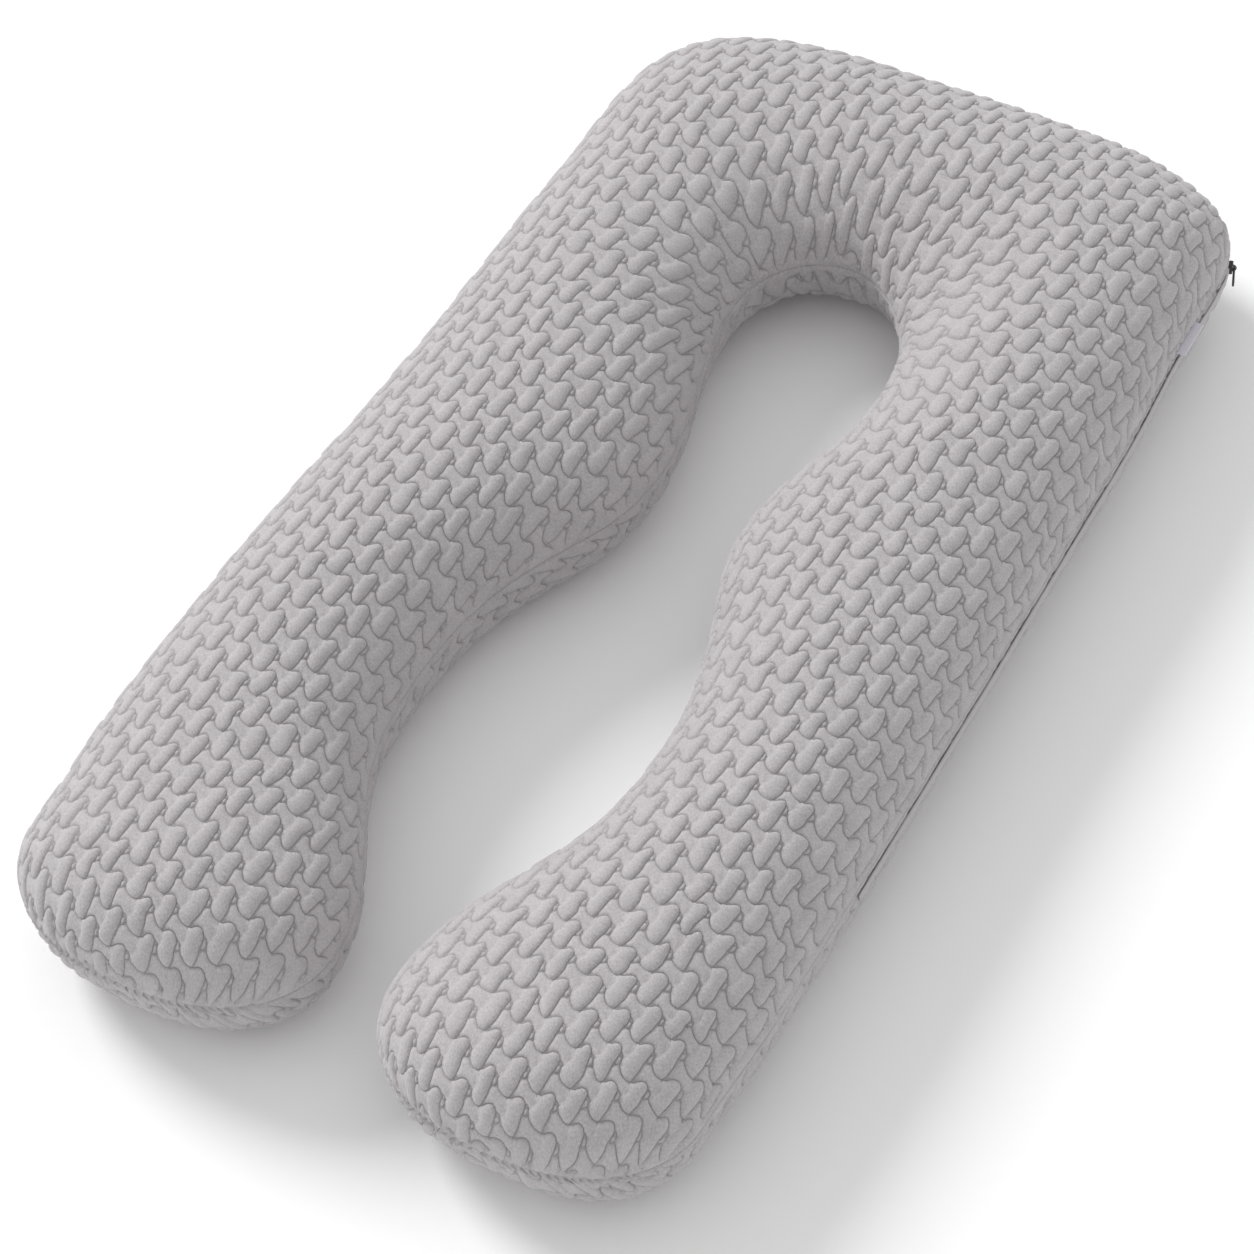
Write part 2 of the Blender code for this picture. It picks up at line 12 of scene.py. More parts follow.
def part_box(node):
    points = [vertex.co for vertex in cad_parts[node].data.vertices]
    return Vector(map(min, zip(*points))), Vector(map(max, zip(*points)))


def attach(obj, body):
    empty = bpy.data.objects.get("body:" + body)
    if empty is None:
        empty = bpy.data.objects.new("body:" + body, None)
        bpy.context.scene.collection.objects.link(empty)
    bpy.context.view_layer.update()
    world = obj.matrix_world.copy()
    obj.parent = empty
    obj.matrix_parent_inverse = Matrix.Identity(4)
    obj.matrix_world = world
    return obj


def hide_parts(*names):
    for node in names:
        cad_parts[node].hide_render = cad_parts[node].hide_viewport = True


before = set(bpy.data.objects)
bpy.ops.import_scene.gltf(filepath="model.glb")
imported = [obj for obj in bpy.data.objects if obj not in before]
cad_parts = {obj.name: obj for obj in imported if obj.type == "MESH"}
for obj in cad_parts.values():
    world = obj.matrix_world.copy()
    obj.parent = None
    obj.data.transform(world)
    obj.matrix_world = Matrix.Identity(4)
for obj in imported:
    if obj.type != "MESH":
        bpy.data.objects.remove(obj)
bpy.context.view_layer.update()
print("frame loaded")

# The camera stands above the left foot and looks down on the pillow
view = {"azimuth": 35.509, "elevation": 50.777, "roll": -7.089, "distance": 4.15,
        "aim": (0.0166, -0.105, 0.09), "focal": 3992.08, "framePixels": 1254, "sensor": 36.0}


def addCamera():
    az, el, roll = (math.radians(view[key]) for key in ("azimuth", "elevation", "roll"))
    back = Vector((math.sin(az) * math.cos(el), -math.cos(az) * math.cos(el), math.sin(el)))
    right = (-back).cross(Vector((0, 0, 1))).normalized()
    up = right.cross(-back)
    turnedRight = right * math.cos(roll) + up * math.sin(roll)
    turnedUp = up * math.cos(roll) - right * math.sin(roll)
    data = bpy.data.cameras.new("camera")
    data.sensor_width = view["sensor"]
    data.lens = view["focal"] * view["sensor"] / view["framePixels"]
    camera = bpy.data.objects.new("camera", data)
    turn = Matrix((turnedRight, turnedUp, back)).transposed().to_4x4()
    camera.matrix_world = Matrix.Translation(Vector(view["aim"]) + back * view["distance"]) @ turn
    bpy.context.scene.collection.objects.link(camera)
    bpy.context.scene.camera = camera


def linearColour(hexColour, alpha=1.0):
    parts = [int(hexColour[place:place + 2], 16) / 255 for place in (1, 3, 5)]
    return tuple(part / 12.92 if part <= 0.04045 else ((part + 0.055) / 1.055) ** 2.4 for part in parts) + (alpha,)


# One shader node: settings are its properties or input values, links go into its inputs
def addNode(tree, kind, settings=None, links=None):
    node = tree.nodes.new(kind)
    for name, value in (settings or {}).items():
        if hasattr(node, name) and name not in node.inputs:
            setattr(node, name, value)
        else:
            node.inputs[name].default_value = value
    for name, source in (links or {}).items():
        tree.links.new(source, node.inputs[name])
    return node


# The filled body, by the sections of its seam line: ends of each section in plan, and the crown over the seam
body = {"seamHeight": 0.101, "bellyDepth": 0.108, "upperFullness": 2.0, "lowerFullness": 2.65,
        "footFullness": 2.2, "footReach": 0.125, "stationStep": 0.009, "anglesPerPanel": 44,
        "bunching": 0.07, "archShare": 0.5,
        "archFrom": 0.25, "archSpan": 0.22, "legSplay": 0.030, "splayFrom": 0.35, "splaySpan": 1.0}
sections = (
    # inner x, inner y, outer x, outer y, crown
    (-0.030, -0.600, -0.388, -0.600, 0.098),
    (-0.060, -0.500, -0.395, -0.500, 0.098),
    (-0.116, -0.400, -0.397, -0.400, 0.097),
    (-0.139, -0.300, -0.396, -0.300, 0.096),
    (-0.138, -0.200, -0.393, -0.200, 0.096),
    (-0.113, -0.100, -0.389, -0.100, 0.097),
    (-0.066, 0.000, -0.384, 0.000, 0.098),
    (-0.052, 0.095, -0.381, 0.105, 0.099),
    (-0.074, 0.195, -0.379, 0.225, 0.099),
    (-0.098, 0.290, -0.378, 0.360, 0.099),
    (-0.100, 0.350, -0.377, 0.490, 0.099),
    (-0.091, 0.383, -0.367, 0.612, 0.099),
    (-0.076, 0.407, -0.328, 0.672, 0.099),
    (-0.054, 0.426, -0.236, 0.710, 0.099),
    (-0.030, 0.436, -0.120, 0.722, 0.099),
    (-0.008, 0.438, 0.010, 0.723, 0.099),
    (0.015, 0.434, 0.120, 0.725, 0.099),
    (0.038, 0.422, 0.228, 0.717, 0.099),
    (0.062, 0.401, 0.318, 0.687, 0.099),
    (0.084, 0.370, 0.355, 0.640, 0.099),
    (0.101, 0.330, 0.364, 0.520, 0.099),
    (0.109, 0.270, 0.372, 0.390, 0.099),
    (0.104, 0.195, 0.377, 0.260, 0.099),
    (0.077, 0.105, 0.380, 0.130, 0.099),
    (0.071, 0.010, 0.383, 0.010, 0.098),
    (0.104, -0.090, 0.385, -0.090, 0.097),
    (0.131, -0.190, 0.387, -0.190, 0.096),
    (0.135, -0.290, 0.389, -0.290, 0.096),
    (0.112, -0.395, 0.391, -0.395, 0.097),
    (0.062, -0.500, 0.391, -0.500, 0.098),
    (0.040, -0.600, 0.387, -0.600, 0.098),
)


# Cubic spline through the rows, with the slope endSlope at the start and its reverse at the end
def smoothRows(knots, values, endSlope, at):
    count = len(knots)
    gaps = np.diff(knots)
    rises = np.diff(values, axis=0) / gaps[:, None]
    system = np.eye(count)
    right = np.zeros((count, values.shape[1]))
    right[0], right[-1] = endSlope, -endSlope
    for row in range(1, count - 1):
        before, after = gaps[row - 1], gaps[row]
        system[row, row - 1:row + 2] = after, 2 * (before + after), before
        right[row] = 3 * (after * rises[row - 1] + before * rises[row])
    slopes = np.linalg.solve(system, right)
    span = np.clip(np.searchsorted(knots, at, side="right") - 1, 0, count - 2)
    gap = gaps[span][:, None]
    part = (at - knots[span])[:, None] / gap
    ease = part * part * (3 - 2 * part)
    return (values[span] * (1 - ease) + values[span + 1] * ease
            + gap * part * (1 - part) * ((1 - part) * slopes[span] - part * slopes[span + 1]))


# Sections of a leg's round end, from the tip to the last full section
def footRows(last):
    steps = round(2.2 * body["footReach"] / body["stationStep"])
    angle = math.pi / 2 * (1 - np.arange(steps) / steps)
    size = np.cos(angle) ** (2 / body["footFullness"])
    size[0] = 0.0
    y = last[1] - body["footReach"] * np.sin(angle) ** (2 / body["footFullness"])
    middle = (last[0] + last[2]) / 2
    return np.column_stack([middle + (last[0] - middle) * size, y, middle + (last[2] - middle) * size, y,
                            last[4] * size, size])


# Close sections along the whole body: inner x, y, outer x, y, crown, size; the tips have the size 0
def sectionRows():
    table = np.array(sections)
    middle = (table[:, 0:2] + table[:, 2:4]) / 2
    knots = np.concatenate([[0.0], np.cumsum(np.linalg.norm(np.diff(middle, axis=0), axis=1))])
    steps = round(knots[-1] / body["stationStep"])
    rows = smoothRows(knots, table, np.array([0.0, 1.0, 0.0, 1.0, 0.0]), np.linspace(0, knots[-1], steps + 1))
    rows = np.column_stack([rows, np.ones(len(rows))])
    rows = np.concatenate([footRows(rows[0]), rows, footRows(rows[-1])[::-1]])
    low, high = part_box("pillow")
    across = (low.x + high.x - rows[:, 2].min() - rows[:, 2].max()) / 2
    rows[:, 0] += across
    rows[:, 2] += across
    rows[:, [1, 3]] += (low.y + high.y - rows[:, 3].min() - rows[:, 3].max()) / 2
    return rows


# The upper (side 1) or lower (side -1) panel as filled: places, and the same grid laid flat as cut
def panelGrid(rows, side):
    angles = np.linspace(0, 1, body["anglesPerPanel"] + 1)
    angles = math.pi * (angles - body["bunching"] * np.sin(2 * math.pi * angles))       # closer together at the seams
    fullness = body["upperFullness"] if side > 0 else body["lowerFullness"]
    across = np.sign(np.cos(angles)) * np.abs(np.cos(angles)) ** (2 / fullness)
    lift = np.abs(np.sin(angles)) ** (2 / fullness)
    lift[0] = lift[-1] = 0.0
    inner, outer = rows[:, None, 0:2], rows[:, None, 2:4]
    plan = (inner + outer) / 2 + (outer - inner) / 2 * across[None, :, None]
    depth = rows[:, 4] if side > 0 else -body["bellyDepth"] * rows[:, 5]
    height = np.maximum(0.0, body["seamHeight"] + depth[:, None] * lift[None, :])
    places = np.concatenate([plan, height[:, :, None]], axis=2)

    # Laid flat, each section keeps its length over the crown, and each foot its length over the tip
    step = np.linalg.norm(np.diff(places, axis=1), axis=2)
    along = np.concatenate([np.zeros((len(rows), 1)), np.cumsum(step, axis=1)], axis=1)
    crown = len(angles) // 2
    along = along[:, [crown]] - along
    half = np.maximum(1e-6, np.linalg.norm(rows[:, 2:4] - rows[:, 0:2], axis=1) / 2)
    direction = (rows[:, 2:4] - rows[:, 0:2]) / (2 * half[:, None])
    full = np.flatnonzero(rows[:, 5] >= 1.0)
    direction[:full[0]] = direction[full[0]]
    direction[full[-1]:] = direction[full[-1]]
    middle = (rows[:, 0:2] + rows[:, 2:4]) / 2
    ridge = np.concatenate([[0.0], np.cumsum(np.linalg.norm(np.diff(places[:, crown], axis=0), axis=1))])
    for end, stations in ((full[0], range(full[0])), (full[-1], range(full[-1] + 1, len(rows)))):
        for station in stations:
            middle[station, 1] = middle[end, 1] - abs(ridge[end] - ridge[station])
    arch = np.clip((middle[:, 1] - body["archFrom"]) / body["archSpan"], 0, 1)
    arch = arch ** 2 * (3 - 2 * arch)
    keep = 1 - (1 - body["archShare"]) * arch
    plain = across[None, :] * half[:, None]
    along = np.where(along < 0, plain + (along - plain) * keep[:, None], along)
    flat = middle[:, None, :] + direction[:, None, :] * along[:, :, None]
    splay = np.clip((body["splayFrom"] - middle[:, 1]) / body["splaySpan"], 0, 1)
    splay *= body["legSplay"] * np.sign(middle[:, 0])
    flat[:, :, 0] += splay[:, None]
    return places, flat


def gridNormals(places, side):
    alongBody = np.gradient(places, axis=0)
    roundBody = np.gradient(places, axis=1)
    normals = np.cross(alongBody, roundBody)
    normals /= np.maximum(1e-12, np.linalg.norm(normals, axis=2))[:, :, None]
    middle = places.shape[1] // 2
    flip = np.sign(normals[len(places) // 3, middle, 2]) * side
    return normals * flip


# The quilted knit: one dog-bone cell, charted in millimetres on the cloth, x to the right and y down the legs
quilt = {"downStep": (16.0, 36.0), "leftStep": (-26.0, 20.0), "scale": 0.93, "relief": 0.0042, "roundness": 8.5,
         "firstInset": 1.0, "secondInset": 3.2, "crownSpacing": 5.2, "edgeStep": 4.0, "wingHeight": 0.70,
         "ribEdge": 0.12, "wander": 5.5, "wanderScale": 58.0, "wobble": 2.4, "wobbleScale": 17.0, "seed": 4.0,
         "ringSpacing": (2.6, 3.6, 3.0), "ribInset": 1.6, "crownInset": 1.6, "spacing": 1.9, "chart": (60, 125),
         "rowShare": 0.9,
         "earInset": 1.0, "earSpacing": 2.4, "earHeight": 0.42, "earCrown": 0.62, "stepRise": 0.45, "downWander": 1.6,
         "margin": 60, "cells": 60}
# Round the arch the cloth is gathered: motifs there are narrower, by this much more cloth at the middle
gather = {"centre": (0.0, 0.335), "more": 0.8, "reach": 0.125, "rounds": 14}
cell = {
    # each line runs between two corners where three cells meet, or along the small ear that sits at one of them
    "rightSide": ((112, 90), (112.6, 98), (112, 106), (110, 115)),
    "lobeTop": ((94, 79), (97, 78), (100, 75), (104, 72.6), (109, 73), (112, 77)),
    "bottomLine": ((92, 106), (95.5, 110), (99, 113), (104, 115.6), (110, 115)),
    "earLeft": ((112, 77), (113, 84), (112, 90)),
    "earTop": ((112, 77), (116.5, 79.5), (118, 86)),
    "earFoot": ((118, 86), (115, 90), (112, 90)),
    "ribLeft": ((94, 79), (95.5, 87), (94.5, 97), (92, 106)),
}


# Points about a step apart on a soft curve through the charted ones
def refine(points, step):
    points = np.array(points, float)
    lengths = np.linalg.norm(np.diff(points, axis=0), axis=1)
    knots = np.concatenate([[0], np.cumsum(lengths)])
    at = np.linspace(0, knots[-1], max(2, round(knots[-1] / step) + 1))
    if len(points) < 3:
        return np.column_stack([np.interp(at, knots, points[:, axis]) for axis in (0, 1)])
    slopes = np.gradient(points, knots, axis=0)
    span = np.clip(np.searchsorted(knots, at, side="right") - 1, 0, len(knots) - 2)
    gap = lengths[span][:, None]
    part = (at - knots[span])[:, None] / gap
    ease = part * part * (3 - 2 * part)
    return (points[span] * (1 - ease) + points[span + 1] * ease
            + gap * part * (1 - part) * ((1 - part) * slopes[span] - part * slopes[span + 1]))


# Which points lie inside a closed outline
def insideOutline(points, outline):
    start, end = outline, np.roll(outline, -1, axis=0)
    x, y = points[:, None, 0], points[:, None, 1]
    crosses = (start[:, 1] > y) != (end[:, 1] > y)
    rise = np.where(np.abs(end[:, 1] - start[:, 1]) < 1e-9, 1e-9, end[:, 1] - start[:, 1])
    return ((x < (end[:, 0] - start[:, 0]) * (y - start[:, 1]) / rise + start[:, 0]) & crosses).sum(axis=1) % 2 == 1


def distanceTo(points, outline):
    start, end = outline[None], np.roll(outline, -1, axis=0)[None]
    run = end - start
    part = np.clip(((points[:, None] - start) * run).sum(2) / np.maximum(1e-9, (run * run).sum(2)), 0, 1)
    return np.linalg.norm(points[:, None] - start - run * part[:, :, None], axis=2).min(axis=1)


# Points at one distance inside an outline, thinned to a spacing
def insetRing(outline, inset, spacing):
    ahead, behind = np.roll(outline, -1, axis=0), np.roll(outline, 1, axis=0)
    tangent = ahead - behind
    tangent /= np.linalg.norm(tangent, axis=1)[:, None]
    ring = outline + np.column_stack([-tangent[:, 1], tangent[:, 0]]) * inset
    if insideOutline(ring, outline).mean() < 0.5:
        ring = outline - np.column_stack([-tangent[:, 1], tangent[:, 0]]) * inset
    ring = ring[insideOutline(ring, outline)]
    ring = ring[distanceTo(ring, outline) > inset * 0.82]
    kept = []
    for point in ring:
        if all(np.hypot(*(point - other)) > spacing for other in kept):
            kept.append(point)
    return np.array(kept)


# One repeat of the quilting: points with their height from 0 in the groove to 1, and the groove's lines
def quiltCell():
    down, left = np.array(quilt["downStep"]), np.array(quilt["leftStep"])
    right = down - left
    line = {name: refine(points, quilt["edgeStep"]) for name, points in cell.items()}
    outline = np.concatenate([
        line["lobeTop"][:-1], line["earLeft"][:-1], line["rightSide"][:-1], line["bottomLine"][::-1][:-1],
        (line["earTop"] + left)[::-1][:-1], (line["lobeTop"] + left)[::-1][:-1],
        (line["rightSide"] - right)[::-1][:-1], (line["earFoot"] - right)[::-1][:-1],
        (line["bottomLine"] - down)[:-1]])
    ear = np.concatenate([line["earTop"][:-1], line["earFoot"][:-1], line["earLeft"][::-1][:-1]])
    rib = np.concatenate([line["lobeTop"][:-1], line["earLeft"][:-1], line["rightSide"][:-1],
                          line["bottomLine"][::-1][:-1], line["ribLeft"][::-1][:-1]])
    spots = [insetRing(*ring) for ring in zip(
        (outline, outline, rib),
        (quilt["firstInset"], quilt["secondInset"], quilt["firstInset"] * quilt["ribInset"]), quilt["ringSpacing"])]
    pitch = quilt["crownSpacing"]
    downRows = np.arange(*quilt["chart"], pitch * quilt["rowShare"])
    grid = np.array([(x + (row % 2) * pitch / 2, y) for row, y in enumerate(downRows)
                     for x in np.arange(*quilt["chart"], pitch)])
    grid = grid[insideOutline(grid, outline)]
    spots.append(grid[distanceTo(grid, outline) > quilt["secondInset"] + quilt["crownInset"]])
    spots = thinned(np.concatenate(spots), quilt["spacing"], line["ribLeft"])
    earSpots = np.concatenate([insetRing(ear, quilt["earInset"], quilt["earSpacing"]), [ear.mean(axis=0)]])
    earHeights = np.full(len(earSpots), quilt["earHeight"])
    earHeights[-1] = quilt["earCrown"]
    grooves = [line[name] for name in cell]
    grooveHeights = [cellHeight(line[name], outline, rib, line["ribLeft"]) if name == "ribLeft"
                     else np.zeros(len(line[name])) for name in cell]
    heights = np.concatenate([cellHeight(spots, outline, rib, line["ribLeft"]), earHeights])
    return np.concatenate([spots, earSpots]), heights, grooves, grooveHeights


# Points without those that crowd each other or the line
def thinned(points, spacing, line):
    kept = []
    for point in points:
        near = min(np.hypot(*(point - other)) for other in np.concatenate([refine(line, 1.0), kept])) if kept else 9
        if near > spacing * 0.75:
            kept.append(point)
    return np.array(kept)


# Height of a motif: a puffed rib, and beside it a lower wing that the rib's left edge steps up from
def cellHeight(points, outline, rib, ribLeft):
    stepLine = np.concatenate([refine(ribLeft, 1.0), refine(ribLeft, 1.0)[::-1]])
    toEdge = distanceTo(points, outline) / quilt["roundness"]
    toStep = distanceTo(points, stepLine) / quilt["roundness"]
    onRib = np.clip(np.minimum(toEdge, quilt["ribEdge"] + toStep), 0, 1)
    ribHeight = np.sqrt(1 - (1 - onRib) ** 2)
    foot = np.sqrt(1 - (1 - quilt["ribEdge"]) ** 2)
    flatter = np.sqrt(1 - (1 - np.clip(toEdge, 0, 1)) ** 2) * quilt["wingHeight"]
    wingHeight = np.minimum(flatter, foot + toStep * quilt["stepRise"])
    return np.where(insideOutline(points, rib), ribHeight, np.minimum(wingHeight, flatter))


# The quilting's uneven lie: a slow drift and a quick wobble of the cloth's points, in millimetres
def wander(points, seed):
    moved = np.empty_like(points)
    for row, (x, y) in enumerate(points):
        drift = noise.noise_vector((x / quilt["wanderScale"], y / quilt["wanderScale"], seed))
        shake = noise.noise_vector((x / quilt["wobbleScale"], y / quilt["wobbleScale"], seed + 9))
        moved[row] = (x + drift.x * quilt["wander"] + shake.x * quilt["wobble"],
                      y + drift.y * quilt["wander"] * quilt["downWander"] + shake.y * quilt["wobble"])
    return moved


# The quilting's points and grooves over a whole panel as cut, in metres on the cloth
def quiltField(flat, seed):
    spots, heights, grooves, grooveHeights = quiltCell()
    down, left = np.array(quilt["downStep"]), np.array(quilt["leftStep"])
    low = flat.reshape(-1, 2).min(0) * 1000 - quilt["margin"]
    high = flat.reshape(-1, 2).max(0) * 1000 + quilt["margin"]
    base = spots.mean(axis=0)
    shifts = []
    for row in range(-quilt["cells"], quilt["cells"] + 1):
        for column in range(-quilt["cells"], quilt["cells"] + 1):
            shift = row * down + column * left
            place = (base + shift) * quilt["scale"] * (1, -1)
            if (place > low).all() and (place < high).all():
                shifts.append(shift)
    shifts = np.array(shifts)
    groovePoints, grooveTops, grooveEdges, index = [], [], [], {}
    for shift in shifts:
        for groove, tops in zip(grooves, grooveHeights):
            last = None
            for point, top in zip(groove + shift, tops):
                key = (round(point[0] * 5), round(point[1] * 5))
                if key not in index:
                    index[key] = len(groovePoints)
                    groovePoints.append(point)
                    grooveTops.append(top)
                if last is not None and last != index[key]:
                    grooveEdges.append((last, index[key]))
                last = index[key]
    points = np.concatenate([np.array(groovePoints), (spots[None] + shifts[:, None]).reshape(-1, 2)])
    points = points * quilt["scale"]
    height = np.concatenate([grooveTops, np.tile(heights, len(shifts))])
    return gathered(wander(points, seed) * (0.001, -0.001)), height, np.array(grooveEdges)


# The quilting drawn closer together round the inside of the arch
def gathered(points):
    centre = np.array(gather["centre"])
    moved = points.copy()
    for _ in range(gather["rounds"]):
        reach = np.linalg.norm(moved - centre, axis=1)[:, None] / gather["reach"]
        moved = centre + (points - centre) / (1 + gather["more"] * np.exp(-reach ** 2))
    return moved


seam = {"depth": 0.0022, "halfWidth": 0.0021, "roll": 0.0010, "rollWidth": 0.010, "rings": (0.0008, 0.0019, 0.0044),
        "firstStitch": 0.0062, "fadeStart": 0.0030, "fadeWidth": 0.0090, "finer": 6}
# Where the cloth rests it is pressed flatter, and the filling makes it a little lumpy elsewhere
lie = {"restHeight": 0.006, "pressed": 0.6, "lumpScale": 11, "lumpHeight": 0.0022, "lumpFade": 0.05}


def loopInward(loop):
    along = np.roll(loop, -1, axis=0) - np.roll(loop, 1, axis=0)
    along /= np.linalg.norm(along, axis=1)[:, None]
    return np.column_stack([-along[:, 1], along[:, 0]])


# The closed seam line in space: how far a point is from it, and which way it draws the cloth in
class SeamLine:

    def __init__(self, loop):
        parts = [(loop + (np.roll(loop, -1, axis=0) - loop) * part / seam["finer"])
                 for part in range(seam["finer"])]
        self.places = np.stack(parts, axis=1).reshape(-1, 3)
        self.inward = loopInward(self.places[:, 0:2])
        self.tree = kdtree.KDTree(len(self.places))
        for index, place in enumerate(self.places):
            self.tree.insert(place, index)
        self.tree.balance()

    # Places moved in beside the seam, and how far each is from it
    def drawIn(self, places):
        found = [self.tree.find(place) for place in places]
        distance = np.array([one[2] for one in found])
        inward = self.inward[[one[1] for one in found]]
        pull = (seam["depth"] * np.clip(1 - distance / seam["halfWidth"], 0, 1) ** 1.5
                + seam["roll"] * np.clip(1 - distance / seam["rollWidth"], 0, 1) ** 2)
        moved = places.copy()
        moved[:, 0:2] += inward * pull[:, None]
        return moved, distance


# One panel of the cover: the quilting cut to the panel's flat outline, then laid over the filled body
def makePanel(name, rows, side, seed):
    places, flat = panelGrid(rows, side)
    normals = gridNormals(places, side)
    mirror = np.array([side, 1.0])
    stations, around = flat.shape[0], flat.shape[1]
    corners = np.arange(stations * around).reshape(stations, around)
    first = np.stack([corners[:-1, :-1], corners[1:, :-1], corners[1:, 1:]], axis=2).reshape(-1, 3)
    second = np.stack([corners[:-1, :-1], corners[1:, 1:], corners[:-1, 1:]], axis=2).reshape(-1, 3)
    triangles = np.concatenate([first, second])
    flatPoints = flat.reshape(-1, 2)
    onTree = [Vector((x, y, 0.0)) for x, y in flatPoints]
    tree = BVHTree.FromPolygons(onTree, triangles.tolist(), all_triangles=True)

    outlineIndex = np.concatenate([corners[:, 0], corners[1:-1, -1][::-1]])
    ahead = np.roll(flatPoints[outlineIndex], -1, axis=0)
    if (flatPoints[outlineIndex][:, 0] * ahead[:, 1] - flatPoints[outlineIndex][:, 1] * ahead[:, 0]).sum() < 0:
        outlineIndex = outlineIndex[::-1]
    outline = flatPoints[outlineIndex]
    flatPlaces, flatNormals = places.reshape(-1, 3), normals.reshape(-1, 3)
    seamLine = SeamLine(flatPlaces[outlineIndex])
    rings = np.concatenate([outline + loopInward(outline) * inset for inset in seam["rings"]])
    points, height, edges = quiltField(flat * mirror, seed)
    points = points * mirror
    found = [tree.ray_cast(Vector((x, y, 1.0)), Vector((0, 0, -1))) for x, y in points]
    hit = np.array([-1 if one[2] is None else one[2] for one in found])
    weights, laid = layPoints(points, hit, triangles, flatPoints)
    _, distance = seamLine.drawIn((flatPlaces[triangles[laid]] * weights[:, :, None]).sum(axis=1))
    keep = np.flatnonzero((hit >= 0) & (distance > seam["firstStitch"]))
    renumber = np.full(len(points), -1)
    renumber[keep] = np.arange(len(keep)) + len(outline) + len(rings)
    edges = renumber[edges]
    edges = edges[(edges >= 0).all(axis=1)]
    everything = np.concatenate([outline, rings, points[keep]])
    vertices, _, faces, fromVertices, _, fromFaces = delaunay_2d_cdt(
        [Vector(point) for point in everything * 1000], edges.tolist(), [list(range(len(outline)))], 0, 1e-6, True)
    faces = [face for face, source in zip(faces, fromFaces) if source]
    print(name, "cells laid:", len(vertices), "points,", len(faces), "faces")

    source = np.array([one[0] if one else -1 for one in fromVertices])
    everyHeight = np.concatenate([np.ones(len(outline) + len(rings)), height[keep]])
    flatNew = np.array([vertex[:] for vertex in vertices]) / 1000
    isOutline = (source >= 0) & (source < len(outline))
    heightNew = np.where(source >= 0, everyHeight[np.maximum(source, 0)], 0.0)
    hitNew = []
    for x, y in flatNew:
        one = tree.ray_cast(Vector((x, y, 1.0)), Vector((0, 0, -1)))
        hitNew.append(one[2] if one[2] is not None else tree.find_nearest(Vector((x, y, 0)))[2])
    hitNew = np.array(hitNew)
    weights, laid = layPoints(flatNew, hitNew, triangles, flatPoints)
    spot = (flatPlaces[triangles[laid]] * weights[:, :, None]).sum(axis=1)
    normal = (flatNormals[triangles[laid]] * weights[:, :, None]).sum(axis=1)
    normal /= np.maximum(1e-9, np.linalg.norm(normal, axis=1))[:, None]
    spot[isOutline] = flatPlaces[outlineIndex[source[isOutline]]]
    spot, nearEdge = seamLine.drawIn(spot)
    fade = np.clip((nearEdge - seam["fadeStart"]) / seam["fadeWidth"], 0, 1)
    depth = quilt["relief"] * (1 - heightNew) * fade
    resting = np.clip(1 - spot[:, 2] / lie["restHeight"], 0, 1)
    depth *= 1 - lie["pressed"] * resting
    lumps = np.array([noise.noise((x * lie["lumpScale"], y * lie["lumpScale"], seed)) for x, y, _ in spot])
    lumps *= lie["lumpHeight"] * np.clip(nearEdge / lie["lumpFade"], 0, 1) * (1 - resting)
    spot = spot + normal * (lumps - depth)[:, None]
    spot[:, 2] = np.maximum(spot[:, 2], 0.0)

    mesh = bpy.data.meshes.new(name)
    mesh.from_pydata(spot.tolist(), [], faces)
    uv = mesh.uv_layers.new(name="cloth")
    loops = np.empty(len(mesh.loops), int)
    mesh.loops.foreach_get("vertex_index", loops)
    uv.data.foreach_set("uv", (flatNew[loops] * mirror).ravel())
    # How deep each point lies in a groove, faded at the seam; the knit material paints shade into the grooves with it
    groove = mesh.attributes.new("groove", "FLOAT", "POINT")
    groove.data.foreach_set("value", (1 - heightNew) * fade)
    shape = bmesh.new()
    shape.from_mesh(mesh)
    shape.normal_update()
    upward = sum(face.normal.z * face.calc_area() for face in shape.faces)
    if upward * side < 0:
        bmesh.ops.reverse_faces(shape, faces=shape.faces)
    shape.to_mesh(mesh)
    shape.free()
    mesh.shade_smooth()
    piece = bpy.data.objects.new(name, mesh)
    bpy.context.scene.collection.objects.link(piece)
    return piece


# Weights of each point in the flat triangle that it hit
def layPoints(points, hit, triangles, flatPoints):
    laid = np.maximum(hit, 0)
    a, b, c = (flatPoints[triangles[laid][:, corner]] for corner in range(3))
    ab, ac, ap = b - a, c - a, points - a
    whole = ab[:, 0] * ac[:, 1] - ab[:, 1] * ac[:, 0]
    whole = np.where(np.abs(whole) < 1e-15, 1e-15, whole)
    toB = (ap[:, 0] * ac[:, 1] - ap[:, 1] * ac[:, 0]) / whole
    toC = (ab[:, 0] * ap[:, 1] - ab[:, 1] * ap[:, 0]) / whole
    weights = np.clip(np.stack([1 - toB - toC, toB, toC], axis=1), 0, 1)
    return weights / weights.sum(axis=1)[:, None], laid


# The darkest grey is painted shade, mixed into the quilting's grooves where they lie deepest
knit = {"light": "#c2bec0", "dark": "#a6a2a4", "deep": "#8a8688", "darkAt": 0.36, "lightAt": 0.62, "grooveFrom": 0.55,
        "grooveShade": 0.55, "wale": 1.05, "roughness": 0.93, "specular": 0.2, "sheen": 0.25, "sheenRoughness": 0.6,
        "bump": 0.35, "bumpHeight": 0.0009}
metal = {"worn": "#59575a", "plated": "#3a393b", "roughness": 0.38, "wearScale": 900.0}
tape = {"thread": "#e2dfe8", "between": "#cfcbd6", "roughness": 0.6, "ribScale": 900.0,
        "bump": 0.2, "bumpHeight": 0.0002}
